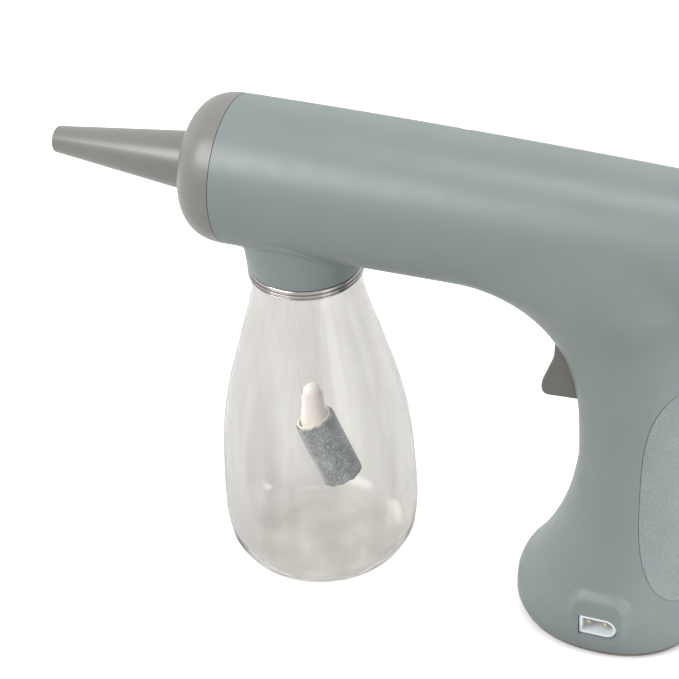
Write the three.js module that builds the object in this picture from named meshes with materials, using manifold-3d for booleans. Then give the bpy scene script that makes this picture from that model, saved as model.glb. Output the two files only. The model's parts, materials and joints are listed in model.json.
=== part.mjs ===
// Cordless mist spray gun that stands on its handle's base and on its screw-on bottle.
// Millimetres, +Z up. The base and the bottle's foot are both at z = 0.
// The origin is the centre of the handle's base. The nozzle points along -X,
// and the power inlet is on the -Y side.

import * as THREE from 'three';
import { mergeVertices } from 'three/addons/utils/BufferGeometryUtils.js';
import Module from 'manifold-3d';

const wasm = await Module();
wasm.setup();

// ---------- driving dimensions ----------

const GAP = 0.3;                 // clearance between touching pieces
const WALL = 2.5;                // housing wall
const ROUND = 32;                // sides of the large round pieces

const BARREL_Z = 198;            // barrel axis at the nose
const BARREL_R = 32;
const NOSE_SEAM_X = -166;
const BARREL_REAR_X = 52;
const BARREL_DROOP = 4.1;        // drop of the barrel's top, 190 mm behind the seam
const REAR_CAP_END_X = 74;

const NOSE_DEPTH = 19;
const NOZZLE_TIP_X = -251;
const NOZZLE_TIP_R = 5.74;
const NOZZLE_SLOPE = 0.1117;     // radius gained per mm behind the tip

const BOTTLE_X = -138;
const BOTTLE_WALL = 1.3;
const NECK_R = 21.6;
const NECK_TOP_Z = 159.8;
const RING_BOTTOM_Z = 153;
const RING_TOP_Z = 157.7;

const COVER_TOP_Z = 2.9;
const HOUSING_BOTTOM_Z = 3.2;
const HANDLE_TOP_Z = 182;        // where the handle's loft ends inside the barrel
const HANDLE_POWER = 2.25;       // 2 is an ellipse, higher is squarer

const TRIGGER_HALF = 7.5;
const PIVOT_X = -17;
const PIVOT_Z = 149;

const FAN_Z = 196;               // motor and fan axis
const DUCT_Z = 203;              // air duct axis

const PAD_DEPTH = 1.2;
const PAD_CENTRE_X = 49.6;
const PAD_CENTRE_Z = 82.9;
const PAD_REACH_X = 33;
const PAD_REACH_Z = 57.8;
const PAD_POWER = 2.8;           // a little squarer than an ellipse

const CELL_R = 9.1;
const CELL_X = [0.8, 20.2];

// Handle outline by height: [z, front x, rear x, half width].
const HANDLE = [
  [0, -37.2, 40.2, 34.6],
  [3, -39.4, 41.2, 36.2],
  [10, -42, 42, 37.2],
  [18, -41.5, 41.5, 36.5],
  [28, -35.3, 40.5, 33.5],
  [40, -28.6, 39, 30],
  [55, -22.3, 37.5, 26.6],
  [72, -17.6, 36.5, 24],
  [90, -15.2, 36, 22.6],
  [108, -15.6, 36, 22],
  [124, -17.7, 36.5, 22.2],
  [138, -21.9, 38, 23],
  [150, -29.9, 40.5, 24.2],
  [158, -38.1, 43.2, 25],
  [165, -49.2, 45.5, 25.5],
  [172, -69.5, 47.5, 26],
  [182, -137.3, 49, 26.7],
];

// Free hose in the bottle, from its barb down to the slanted filter.
const SUCTION_HOSE_R = 5.4;
const SUCTION_ROUTE = [
  [-138, 0, 156.7], [-138.1, 0, 146], [-138.7, 0, 133], [-139.4, 0, 120], [-139.8, 0, 106],
  [-139.7, 0, 94], [-139.3, 0, 84.9],
];
const FILTER_CENTRE = [-133.2, 0, 55.9];
const FILTER_R = 9.4;
const FILTER_HALF = 16.1;
const FILTER_SLANT = 0.4;        // radians from upright, top towards the nozzle

// Screws that join the housing halves, driven from the +Y side: [x, z].
const SCREWS = [
  [-148, 222.5], [-70, 222.5], [-8, 219.5], [-60, 172.2],
  [2, 102.6], [28, 130], [-31, 14], [33, 12.5],
];
const COVER_SCREWS = [[-23, -24.5], [-23, 24.5], [25, -24.5], [25, 24.5]];

// ---------- materials ----------

function material(color, roughness, metalness = 0, opacity = 1) {
  return new THREE.MeshStandardMaterial({
    color, roughness, metalness, opacity, transparent: opacity < 1,
  });
}

const MATERIALS = {
  shell: material('#8b9f9d', 0.5),
  nose: material('#8d8d88', 0.5),
  nozzle: material('#77776f', 0.45),
  trigger: material('#5f5e59', 0.5),
  pad: material('#94a3a4', 0.85),
  rim: material('#4c4a47', 0.6),
  white: material('#e9e9e6', 0.4),
  silver: material('#d4d6d8', 0.25, 0.9),
  steel: material('#9a9da0', 0.35, 1),
  brass: material('#c9a24c', 0.35, 1),
  clear: material('#eef2f2', 0.08, 0, 0.35),
  hose: material('#f1f1ec', 0.4, 0, 0.8),
  sleeve: material('#636d74', 0.9),
  foam: material('#35383a', 0.95),
  rubber: material('#2b2c2d', 0.8),
  black: material('#3a3b3d', 0.5),
  board: material('#2f6b45', 0.55),
  cell: material('#3d6fa3', 0.4),
};

const group = new THREE.Group();

function place(name, geometry, slot) {
  const mesh = new THREE.Mesh(geometry, MATERIALS[slot]);
  mesh.name = name;
  group.add(mesh);
}

// ---------- solids and booleans ----------

function signedVolume(positions, triangles) {
  const corner = [new THREE.Vector3(), new THREE.Vector3(), new THREE.Vector3()];
  let volume = 0;
  for (let t = 0; t < triangles.length; t += 3) {
    corner.forEach((v, k) => v.fromArray(positions, 3 * triangles[t + k]));
    volume += corner[0].dot(corner[1].cross(corner[2])) / 6;
  }
  return volume;
}

// Welds a geometry, drops collapsed triangles and turns the faces outward.
function welded(geometry) {
  const bare = geometry.clone();
  bare.deleteAttribute('normal');
  bare.deleteAttribute('uv');
  const joined = mergeVertices(bare, 1e-4);
  const positions = Float32Array.from(joined.attributes.position.array);
  const index = joined.index.array;
  const triangles = [];
  for (let t = 0; t < index.length; t += 3) {
    const [a, b, c] = [index[t], index[t + 1], index[t + 2]];
    if (a !== b && b !== c && c !== a) triangles.push(a, b, c);
  }
  if (signedVolume(positions, triangles) < 0) triangles.reverse();
  return { positions, triangles };
}

function toManifold(geometry) {
  const { positions, triangles } = welded(geometry);
  const mesh = new wasm.Mesh({
    numProp: 3, vertProperties: positions, triVerts: Uint32Array.from(triangles),
  });
  return new wasm.Manifold(mesh);
}

function toGeometry(positions, triangles) {
  const geometry = new THREE.BufferGeometry();
  geometry.setAttribute('position', new THREE.Float32BufferAttribute(positions, 3));
  geometry.setIndex(Array.from(triangles));
  geometry.computeVertexNormals();
  return geometry;
}

function combine(operation, first, others) {
  let result = toManifold(first);
  for (const other of others) result = result[operation](toManifold(other));
  const mesh = result.getMesh();
  return toGeometry(mesh.vertProperties, mesh.triVerts);
}

const add = (first, ...others) => combine('add', first, others);
const cut = (first, ...others) => combine('subtract', first, others);
const meet = (first, ...others) => combine('intersect', first, others);

// One closed solid from a geometry that needs no boolean.
function solid(geometry) {
  const { positions, triangles } = welded(geometry);
  return toGeometry(positions, triangles);
}

// ---------- basic shapes ----------

function box(x0, x1, y0, y1, z0, z1) {
  return new THREE.BoxGeometry(x1 - x0, y1 - y0, z1 - z0)
    .translate((x0 + x1) / 2, (y0 + y1) / 2, (z0 + z1) / 2);
}

// Profile pairs are [radius, height]. The profile closes on itself or ends on the axis.
function lathe(profile, sides) {
  return new THREE.LatheGeometry(profile.map(([r, h]) => new THREE.Vector2(r, h)), sides);
}

function turnedZ(profile, x = 0, y = 0, sides = ROUND) {
  return solid(lathe(profile, sides).rotateX(Math.PI / 2).translate(x, y, 0));
}

function turnedX(profile, z, sides = ROUND, y = 0) {
  return solid(lathe(profile, sides).rotateZ(-Math.PI / 2).translate(0, y, z));
}

function turnedY(profile, x, z, sides = 10) {
  return solid(lathe(profile, sides).translate(x, 0, z));
}

function rodProfile(radius, from, to) {
  return [[0, from], [radius, from], [radius, to], [0, to]];
}

function ringProfile(outer, inner, from, to) {
  return [[inner, from], [outer, from], [outer, to], [inner, to], [inner, from]];
}

function outline(points) {
  return new THREE.Shape(points.map(([u, v]) => new THREE.Vector2(u, v)));
}

// A side view shape (x, z) drawn out between two values of y.
function slab(shape, y0, y1, bevel = 0) {
  const geometry = new THREE.ExtrudeGeometry(shape, {
    depth: y1 - y0 - 2 * bevel,
    bevelEnabled: bevel > 0,
    bevelSize: bevel,
    bevelThickness: bevel,
    bevelOffset: -bevel,
    bevelSegments: 2,
    curveSegments: 6,
  });
  return geometry.rotateX(Math.PI / 2).translate(0, y1 - bevel, 0);
}

// A solid round tube along a curve through the given points.
function hose(points, radius, steps, sides = 10) {
  const path = new THREE.CatmullRomCurve3(points.map((p) => new THREE.Vector3(...p)));
  const circle = outline(Array.from({ length: sides }, (_, k) => {
    const angle = (2 * Math.PI * k) / sides;
    return [radius * Math.cos(angle), radius * Math.sin(angle)];
  }));
  return solid(new THREE.ExtrudeGeometry(circle, {
    steps, extrudePath: path, bevelEnabled: false,
  }));
}

// A closed skin over rings that all have the same number of points.
function loft(rings) {
  const count = rings[0].length;
  const positions = rings.flatMap((ring) => ring.flatMap((p) => [p.x, p.y, p.z]));
  const index = [];
  for (let i = 0; i < rings.length - 1; i += 1) {
    for (let j = 0; j < count; j += 1) {
      const a = i * count + j;
      const b = i * count + ((j + 1) % count);
      index.push(a, b, b + count, a, b + count, a + count);
    }
  }
  [0, rings.length - 1].forEach((i) => {
    const centre = new THREE.Vector3();
    rings[i].forEach((p) => centre.addScaledVector(p, 1 / count));
    positions.push(centre.x, centre.y, centre.z);
    const hub = positions.length / 3 - 1;
    for (let j = 0; j < count; j += 1) {
      const a = i * count + j;
      const b = i * count + ((j + 1) % count);
      if (i === 0) index.push(hub, b, a);
      else index.push(hub, a, b);
    }
  });
  const geometry = new THREE.BufferGeometry();
  geometry.setAttribute('position', new THREE.Float32BufferAttribute(positions, 3));
  geometry.setIndex(index);
  return solid(geometry);
}

// Smooth, overshoot-free value of column k of a table sorted by its first column.
function smoothAt(table, k, at) {
  const last = table.length - 1;
  const slope = (i) => (table[i + 1][k] - table[i][k]) / (table[i + 1][0] - table[i][0]);
  const tangent = (i) => {
    if (i === 0) return slope(0);
    if (i === last) return slope(last - 1);
    const [a, b] = [slope(i - 1), slope(i)];
    return a * b <= 0 ? 0 : (2 * a * b) / (a + b);
  };
  let i = 0;
  while (i < last - 1 && at > table[i + 1][0]) i += 1;
  const span = table[i + 1][0] - table[i][0];
  const t = THREE.MathUtils.clamp((at - table[i][0]) / span, 0, 1);
  return (1 + 2 * t) * (1 - t) ** 2 * table[i][k]
    + t * (1 - t) ** 2 * span * tangent(i)
    + t * t * (3 - 2 * t) * table[i + 1][k]
    - t * t * (1 - t) * span * tangent(i + 1);
}

// ---------- outer form ----------

// The barrel tapers and its axis drops together, so that its underside stays level.
function barrelDroop(x) {
  return BARREL_DROOP * (Math.max(0, x - NOSE_SEAM_X) / 190) ** 1.9;
}

function barrelRing(x, inset, sides) {
  const radius = BARREL_R - barrelDroop(x) / 2 - inset;
  const centre = BARREL_Z - barrelDroop(x) / 2;
  return Array.from({ length: sides }, (_, k) => {
    const angle = (2 * Math.PI * (k + 0.5)) / sides;
    return new THREE.Vector3(x, radius * Math.cos(angle), centre + radius * Math.sin(angle));
  });
}

function barrel(inset, x0 = NOSE_SEAM_X, x1 = BARREL_REAR_X, sides = 32) {
  const stations = [x0, -95, -50, -10, 22, x1];
  return loft(stations.map((x) => barrelRing(x, inset, sides)));
}

// One coordinate of a point on an oval that is squarer than an ellipse.
function flattened(value, power) {
  return Math.sign(value) * Math.abs(value) ** (2 / power);
}

function handleRing(z, inset, sides = 32) {
  const [front, rear, half] = [1, 2, 3].map((k) => smoothAt(HANDLE, k, z));
  const reach = (rear - front) / 2 - inset;
  const width = half - inset;
  return Array.from({ length: sides }, (_, k) => {
    const angle = (2 * Math.PI * k) / sides;
    const x = (front + rear) / 2 + reach * flattened(Math.cos(angle), HANDLE_POWER);
    return new THREE.Vector3(x, width * flattened(Math.sin(angle), HANDLE_POWER), z);
  });
}

function handle(inset, z0 = HOUSING_BOTTOM_Z, z1 = HANDLE_TOP_Z, sides = 32) {
  const levels = [8, 15, 24, 36, 54, 78, 102, 122, 138, 148, 156, 163, 169, 175]
    .filter((z) => z > z0 + 1 && z < z1 - 1);
  return loft([z0, ...levels, z1].map((z) => handleRing(z, inset, sides)));
}

// Side view oval that bounds the grip pad.
function padOutline(grow) {
  return outline(Array.from({ length: 36 }, (_, k) => {
    const angle = (2 * Math.PI * k) / 36;
    return [PAD_CENTRE_X + (PAD_REACH_X + grow) * flattened(Math.cos(angle), PAD_POWER),
      PAD_CENTRE_Z + (PAD_REACH_Z + grow) * flattened(Math.sin(angle), PAD_POWER)];
  }));
}

// Side view of the power inlet: square end forward, round end to the rear.
function inletOutline(grow) {
  const [x0, x1, z0, z1] = [-5 - grow, 11.6 + grow, 11.5 - grow, 21.5 + grow];
  const radius = (z1 - z0) / 2;
  const shape = new THREE.Shape();
  shape.moveTo(x0, z0);
  shape.lineTo(x1 - radius, z0);
  shape.absarc(x1 - radius, (z0 + z1) / 2, radius, -Math.PI / 2, Math.PI / 2);
  shape.lineTo(x0, z1);
  shape.closePath();
  return shape;
}

// ---------- housing ----------

function triggerSlot() {
  return box(-45, -6, -TRIGGER_HALF - 0.6, TRIGGER_HALF + 0.6, 112, 147.2);
}

function padRecess() {
  const band = cut(handle(-2, 12, 150), handle(PAD_DEPTH + GAP, 11, 151));
  return meet(band, slab(padOutline(0.35), -60, 60));
}

// Bosses, pin seats and posts that join the wall, then every hole in the shell.
function housing() {
  const outer = add(barrel(0), handle(0));
  const inner = add(barrel(WALL, -172, 58, 20), handle(WALL, 1, HANDLE_TOP_Z, 16));
  const shell = cut(outer, inner);
  const lugs = [];
  const holes = [];
  SCREWS.forEach(([x, z]) => {
    lugs.push(turnedY(rodProfile(3.4, -45, 0), x, z));
    lugs.push(turnedY(rodProfile(4.6, 0, 45), x, z));
    holes.push(turnedY(rodProfile(1.75, -9.5, 10), x, z, 8));
    holes.push(turnedY(rodProfile(3.1, 9, 50), x, z));
  });
  [-1, 1].forEach((side) => {
    const near = side * (TRIGGER_HALF + 0.9);
    lugs.push(turnedY(rodProfile(3.6, Math.min(near, 45 * side), Math.max(near, 45 * side)),
      PIVOT_X, PIVOT_Z));
  });
  holes.push(turnedY(rodProfile(1.8, -11.4, 11.4), PIVOT_X, PIVOT_Z, 12));
  COVER_SCREWS.forEach(([x, y]) => {
    lugs.push(turnedZ(rodProfile(3.6, HOUSING_BOTTOM_Z, 12), x, y, 12));
    holes.push(turnedZ(rodProfile(1.5, 2, 10), x, y, 8));
  });
  const seats = meet(lugs.reduce((all, lug) => add(all, lug)), outer);
  holes.push(triggerSlot());
  holes.push(padRecess());
  holes.push(slab(inletOutline(GAP), -50, -16));
  holes.push(turnedZ(rodProfile(5, 150, 173), BOTTLE_X, 0, 20));
  return cut(add(shell, seats), ...holes);
}

function buildHousing() {
  const whole = housing();
  place('housing_left', meet(whole, box(-200, 100, -60, -0.15, -5, 260)), 'shell');
  place('housing_right', meet(whole, box(-200, 100, 0.15, 60, -5, 260)), 'shell');
}

function buildHousingScrews() {
  SCREWS.forEach(([x, z], k) => {
    const screw = turnedY([[0, -8.6], [1.4, -7.8], [1.4, 9.3], [2.7, 9.3], [2.7, 10.6],
      [2.1, 11.3], [0, 11.3]], x, z, 8);
    const slot = box(x - 3, x + 3, 10.7, 12, z - 0.4, z + 0.4);
    place(`housing_screw_${k + 1}`, cut(screw, slot), 'steel');
  });
}

function buildGripPad() {
  const band = cut(handle(0, 13, 149), handle(PAD_DEPTH, 12, 150));
  place('grip_pad', meet(band, slab(padOutline(0), -60, 60)), 'pad');
}

function buildBaseCover() {
  const plate = loft([0, 1.4, COVER_TOP_Z].map((z) => handleRing(z, z === 0 ? 0.4 : 0)));
  const holes = COVER_SCREWS.flatMap(([x, y]) => [
    turnedZ(rodProfile(3.1, -1, 1.5), x, y, 12),
    turnedZ(rodProfile(1.7, -1, 5), x, y, 8),
  ]);
  place('base_cover', cut(plate, ...holes), 'rim');
  COVER_SCREWS.forEach(([x, y], k) => {
    const profile = [[0, 0.4], [2.7, 0.4], [2.7, 1.2], [1.25, 1.2], [1.25, 8.6], [0, 9.3]];
    place(`base_screw_${k + 1}`, turnedZ(profile, x, y, 10), 'steel');
  });
}

// ---------- nose, nozzle and air path ----------

// Radius of the cone at x.
function nozzleRadius(x) {
  return NOZZLE_TIP_R + NOZZLE_SLOPE * (x - NOZZLE_TIP_X);
}

function buildNoseCap() {
  const edge = nozzleRadius(NOSE_SEAM_X - NOSE_DEPTH) + GAP;
  const dome = (inset, steps) => {
    return Array.from({ length: steps + 1 }, (_, k) => {
      const angle = (Math.PI / 2) * (k / steps);
      const across = (BARREL_R - inset - edge) * Math.cos(angle) ** 0.8;
      const along = (NOSE_DEPTH - inset) * Math.sin(angle) ** 0.8;
      return [edge + across, NOSE_SEAM_X - GAP - along];
    });
  };
  const profile = [
    ...dome(0, 8),
    ...dome(WALL, 3).slice(1).reverse(),
    [27.2, NOSE_SEAM_X - 3],
    [27.2, NOSE_SEAM_X + 6],
    [28.8, NOSE_SEAM_X + 6],
    [28.8, NOSE_SEAM_X - GAP],
    [BARREL_R, NOSE_SEAM_X - GAP],
  ];
  place('nose_cap', turnedX(profile, BARREL_Z, 32), 'nose');
}

function buildNozzle() {
  const shoulder = NOSE_SEAM_X - NOSE_DEPTH;
  const tip = NOZZLE_TIP_X;
  const profile = [
    [3.7, tip], [NOZZLE_TIP_R - 1, tip], [NOZZLE_TIP_R - 0.3, tip + 0.3],
    [nozzleRadius(tip + 1), tip + 1],
    [nozzleRadius(shoulder), shoulder],
    [nozzleRadius(shoulder), shoulder + 3.1],
    [15.6, shoulder + 3.1], [15.6, shoulder + 5.3],
    [11, shoulder + 5.3], [10.6, shoulder], [3.7, tip + 14], [3.7, tip],
  ];
  place('nozzle', turnedX(profile, BARREL_Z, 24), 'nozzle');
}

// The liquid jet on the nozzle's axis, with its feed stem and three centring fins.
function buildAtomiserTip() {
  const stem = turnedX([[0, -173], [0, -171], [1.9, -171], [1.9, -236], [2.4, -238],
    [2.4, -244], [1.1, -248.5], [0, -248.5], [0, -173]].slice(1, 8), BARREL_Z, 16);
  const elbow = turnedZ(rodProfile(1.7, 190, 198), -172.7, 0, 12);
  const fins = [0, 1, 2].map((k) => box(-196, -188, -0.5, 0.5, 1, 8.6)
    .rotateX((2 * Math.PI * k) / 3).translate(0, 0, BARREL_Z));
  place('atomiser_tip', add(stem, elbow, ...fins), 'steel');
}

function buildAirDuct() {
  const circle = (x, radius, z) => Array.from({ length: 24 }, (_, k) => {
    const angle = (2 * Math.PI * k) / 24;
    return new THREE.Vector3(x, radius * Math.cos(angle), z + radius * Math.sin(angle));
  });
  const skin = (inset, slack) => loft([
    circle(-158 - slack, 13.5 - inset, DUCT_Z),
    circle(-66, 13.5 - inset, DUCT_Z),
    circle(-58, 15.5 - inset, 202),
    circle(-46, 22 - inset, 199),
    circle(-38 + slack, 26.4 - inset, 197),
  ]);
  place('air_duct', cut(skin(0, 0), skin(1.5, 0.6)), 'black');
}

function buildFan() {
  place('fan_shroud', turnedX(ringProfile(26, 24.3, 12, 40), FAN_Z, 24), 'black');
  place('motor', turnedX([[0, -26], [5, -26], [5, -24], [14, -24], [14, 6], [5, 6], [5, 8],
    [1.8, 8], [1.8, 0], [0, 0]], FAN_Z, 24), 'steel');
  place('motor_shaft', turnedX(rodProfile(1.5, 0.3, 30), FAN_Z, 16), 'steel');
  const struts = [30, 150, 270].map((degrees) => box(-17, -9, 15, 26.5, -1.2, 1.2)
    .rotateX(THREE.MathUtils.degToRad(degrees)).translate(0, 0, FAN_Z));
  const clamp = turnedX(ringProfile(16.8, 14.3, -18, -8), FAN_Z, 20);
  place('motor_mount', add(clamp, ...struts), 'black');
  place('impeller', add(impellerHub(), ...impellerBlades()), 'black');
}

function impellerHub() {
  return turnedX([[1.8, 14], [8, 14], [8, 27], [5.5, 31], [1.8, 32], [1.8, 14]], FAN_Z, 20);
}

// Seven flat blades, each pitched about its own radius.
function impellerBlades() {
  return Array.from({ length: 7 }, (_, k) => box(-6.2, 6.2, -0.6, 0.6, 6.5, 22.6)
    .rotateZ(0.8)
    .translate(20.5, 0, 0)
    .rotateX((2 * Math.PI * k) / 7)
    .translate(0, 0, FAN_Z));
}

function buildRearCap() {
  const radius = BARREL_R - barrelDroop(BARREL_REAR_X) / 2;
  const centre = BARREL_Z - barrelDroop(BARREL_REAR_X) / 2;
  const start = BARREL_REAR_X + GAP;
  const dome = (inset, steps) => Array.from({ length: steps + 1 }, (_, k) => {
    const angle = (Math.PI / 2) * (k / steps);
    return [(radius - inset) * Math.cos(angle) ** 0.6,
      start + (REAR_CAP_END_X - start - inset) * Math.sin(angle) ** 0.9];
  });
  const rim = [[24.8, start + 3], [24.8, start - 5], [26.3, start - 5], [26.3, start]];
  const profile = [...dome(2.3, 3).slice(1).reverse(), ...rim, ...dome(0, 6)];
  profile[0][0] = 0;
  profile[profile.length - 1][0] = 0;
  const cap = turnedX(profile, centre, 28);
  const vents = [-12, -6, 0, 6, 12].map((z) => {
    const half = Math.sqrt(20 ** 2 - z ** 2);
    return box(60, 80, -half, half, centre + z - 1.6, centre + z + 1.6);
  });
  place('rear_cap', cut(cap, ...vents), 'shell');
  place('intake_filter', turnedX(rodProfile(24.2, start - 4.5, start - 1.5), centre, 36), 'foam');
}

// ---------- trigger and switch ----------

function buildTrigger() {
  const profile = new THREE.Shape();
  profile.moveTo(-12.6, 149);
  profile.absarc(PIVOT_X, PIVOT_Z, 4.4, 0, Math.PI);
  profile.lineTo(-21.6, 147.6);
  profile.bezierCurveTo(-24.4, 145.8, -25.6, 143.4, -25.7, 139);
  profile.bezierCurveTo(-25.9, 130, -30.9, 125, -31.3, 119.2);
  profile.bezierCurveTo(-31.6, 116.2, -30.4, 114.6, -28, 114.5);
  profile.lineTo(-10.5, 115.4);
  profile.quadraticCurveTo(-8.6, 115.8, -8.4, 118.6);
  profile.lineTo(-8, 140);
  profile.closePath();
  const body = slab(profile, -TRIGGER_HALF, TRIGGER_HALF, 1.3);
  const pocket = box(-21, 0, -4.8, 4.8, 118, 132);
  const bore = turnedY(rodProfile(1.8, -10, 10), PIVOT_X, PIVOT_Z, 16);
  place('trigger', cut(body, pocket, bore), 'trigger');
  place('trigger_pin', turnedY(rodProfile(1.5, -11.1, 11.1), PIVOT_X, PIVOT_Z, 16), 'steel');
}

// Flat return spring: a foot against the battery holder's front and a bowed leaf.
function buildTriggerSpring() {
  const leaf = new THREE.Shape();
  leaf.moveTo(2.2, 111);
  leaf.quadraticCurveTo(1.5, 119.5, -7.6, 127);
  leaf.lineTo(-7, 127.5);
  leaf.quadraticCurveTo(2.1, 120.1, 2.8, 111.6);
  leaf.lineTo(2.8, 111);
  leaf.closePath();
  const foot = box(2.2, 2.8, -3, 3, 107.8, 111.3);
  const tab = box(2.2, 7, -3, 3, 107.8, 108.4);
  place('trigger_spring', add(slab(leaf, -3, 3), foot, tab), 'steel');
}

function buildSwitch() {
  const bore = turnedX(rodProfile(1.6, -4, 3), 139, 16);
  place('micro_switch', cut(box(-3, 8, -3.2, 3.2, 133, 145), bore), 'black');
  place('switch_plunger', turnedX([[0, -7.5], [0.8, -7.5], [1.3, -7], [1.3, -0.6], [0, -0.6]],
    139, 16), 'white');
}

// ---------- power ----------

function buildBattery() {
  CELL_X.forEach((x, k) => {
    const profile = [[0, 29.5], [CELL_R, 29.5], [CELL_R, 93], [CELL_R - 1, 94], [3, 94],
      [3, 95], [0, 95]];
    place(`battery_cell_${k + 1}`, turnedZ(profile, x, 0, 20), 'cell');
  });
  const parts = [
    box(-8.4, 29.4, -10.5, 10.5, 27, 29.2),
    box(-8.4, 29.4, -10.5, 10.5, 95.4, 97.4),
  ];
  const back = box(-8.4, 29.4, 9.5, 11, 27, 97.4);
  place('battery_holder', add(parts[0], parts[1], back), 'black');
}

function buildBoard() {
  const chips = [
    box(-14, -4, 2, 12, 7, 10.4),
    box(2, 10, 4, 10, 7, 9.2),
    turnedZ(rodProfile(3.6, 7, 18), 14, 14, 16),
    box(-18, -10, -14, -6, 7, 11),
  ];
  place('main_board', add(box(-21, 21, -15.5, 21, 6, 7.6), ...chips), 'board');
}

function buildInlet() {
  const body = slab(inletOutline(0), -35.9, -17);
  const socket = slab(inletOutline(-1.3), -40, -27.4);
  const pinX = [-1.4, 5.6];
  const bores = pinX.map((x) => turnedY(rodProfile(1.5, -30, -19), x, 16.5, 12));
  place('power_inlet', cut(body, socket, ...bores), 'white');
  pinX.forEach((x, k) => {
    const profile = [[0, -34], [0.8, -34], [1.2, -33.4], [1.2, -19.4], [0, -19.4]];
    place(`inlet_pin_${k + 1}`, turnedY(profile, x, 16.5, 12), 'brass');
  });
}

// ---------- bottle, collar and liquid path ----------

// Collar under the barrel: a skirt for the bottle's neck, closed by a web with a barb hole.
function buildCollar() {
  const skirt = turnedZ([
    [22.7, 154.6], [23.7, 154.6], [23.7, RING_TOP_Z + GAP], [25, RING_TOP_Z + GAP],
    [25.4, 162], [25.8, 166], [25.8, 185], [3.3, 185], [3.3, 161.6], [22.7, 161.6],
    [22.7, 154.6],
  ], BOTTLE_X, 0, 32);
  const saddle = barrel(-GAP, -172, 10);
  place('bottle_collar', cut(skirt, saddle), 'shell');
  place('lock_ring', turnedZ([
    [24, RING_BOTTOM_Z], [24.8, RING_BOTTOM_Z], [25.1, RING_BOTTOM_Z + 0.4], [25.1, 155.2],
    [24.6, 155.6], [24.6, 156.3], [25.1, 156.7], [25.1, RING_TOP_Z - 0.4], [24.8, RING_TOP_Z],
    [24, RING_TOP_Z], [24, RING_BOTTOM_Z],
  ], BOTTLE_X, 0, 32), 'silver');
  place('bottle_seal', turnedZ(ringProfile(22.3, 18.6, NECK_TOP_Z + 0.2, 161.4),
    BOTTLE_X, 0, 28), 'rubber');
}

// Pear-shaped side of the bottle: [height, outer radius].
const BOTTLE_SIDE = [
  [10.5, 41], [15, 42.7], [29, 44], [46.2, 43.6], [69.3, 42], [92.4, 37.9], [115.5, 31.6],
  [138.6, 25.4], [148, 23.7], [153, 23.2],
];

function buildBottle() {
  const side = (levels) => levels.map((z) => [smoothAt(BOTTLE_SIDE, 1, z), z]);
  const heel = [[0, 3.4], [22, 0.9], [25.5, 0], [29.5, 0.1], [34.5, 3.2], [38.3, 6.6]];
  const inside = [
    ...side([153, 138, 112, 88, 62, 36, 15]).map(([r, z]) => [r - BOTTLE_WALL, z]),
    [37.2, 8.2], [33.2, 4.8], [27, 2.6], [20, 3.4], [0, 5.4],
  ];
  const profile = [
    ...heel, ...side([10.5, 15, 24, 38, 55, 72, 88, 104, 120, 134, 145, 153]),
    [NECK_R, 154.2], [NECK_R, 155.6], [22.2, 156.2], [NECK_R, 156.8],
    [NECK_R, NECK_TOP_Z], [NECK_R - 1.5, NECK_TOP_Z], [NECK_R - 1.5, 154.4],
    ...inside,
  ];
  place('bottle', turnedZ(profile, BOTTLE_X, 0, 30), 'clear');
}

// The filter hangs at a slant: a felt sleeve over a lining, with a stub up to the hose.
function buildSuction() {
  place('suction_barb', turnedZ([[1.8, 157], [4.9, 157], [4.9, 158.2], [3.4, 158.6], [3.4, 159.2],
    [5.6, 159.2], [5.6, 161.2], [3, 161.2], [3, 173], [1.8, 173], [1.8, 157]],
  BOTTLE_X, 0, 14), 'white');
  place('suction_hose', hose(SUCTION_ROUTE, SUCTION_HOSE_R, 7, 12), 'hose');
  const slant = (geometry) => solid(geometry.rotateY(-FILTER_SLANT)
    .translate(...FILTER_CENTRE));
  const along = (distance) => [FILTER_CENTRE[0] - distance * Math.sin(FILTER_SLANT), 0,
    FILTER_CENTRE[2] + distance * Math.cos(FILTER_SLANT)];
  const lining = slant(turnedZ(ringProfile(FILTER_R - 1.4, FILTER_R - 2, -14.5, 16.7), 0, 0, 24));
  const end = slant(turnedZ(rodProfile(FILTER_R - 1.8, -14.5, -11), 0, 0, 24));
  const [x, y, z] = SUCTION_ROUTE[SUCTION_ROUTE.length - 1];
  const stub = hose([along(-13), along(0), along(8), [-138.7, 0, 70.2], [x, y, 77.5],
    [x, y, z - GAP]], SUCTION_HOSE_R - 0.2, 8, 12);
  place('filter_core', add(lining, end, stub), 'white');
  place('suction_filter', slant(turnedZ(ringProfile(FILTER_R, FILTER_R - 1.1,
    -FILTER_HALF, FILTER_HALF), 0, 0, 24)), 'sleeve');
}

function buildPump() {
  const head = turnedX(rodProfile(7.5, -104, -92), 180.5, 20);
  const drum = turnedX(rodProfile(8.2, -92, -70), 180.5, 20);
  const barbs = [
    turnedX(rodProfile(1.6, -107, -103), 179, 12),
    turnedX(rodProfile(1.4, -107, -103), 184, 12, 5),
  ];
  place('liquid_pump', add(head, drum, ...barbs), 'black');
  place('pump_inlet_hose', hose([[-138, 0, 173.4], [-137.4, 0, 178], [-132, 0, 181.6],
    [-122, 0, 181], [-112, 0, 179.2], [-107.3, 0, 179]], 2.4, 14, 8), 'hose');
  place('pump_outlet_hose', hose([[-107.3, 5, 184], [-118, 6.6, 185.4], [-140, 7, 185.6],
    [-158, 5, 184.4], [-168, 1.6, 183.4], [-172.4, 0.2, 185.6], [-172.7, 0, 189.6]],
  2, 18, 8), 'hose');
}

// ---------- assembly ----------

buildHousing();
buildHousingScrews();
buildGripPad();
buildBaseCover();
buildNoseCap();
buildNozzle();
buildAtomiserTip();
buildAirDuct();
buildFan();
buildRearCap();
buildTrigger();
buildTriggerSpring();
buildSwitch();
buildBattery();
buildBoard();
buildInlet();
buildCollar();
buildBottle();
buildSuction();
buildPump();

export default group;
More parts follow.
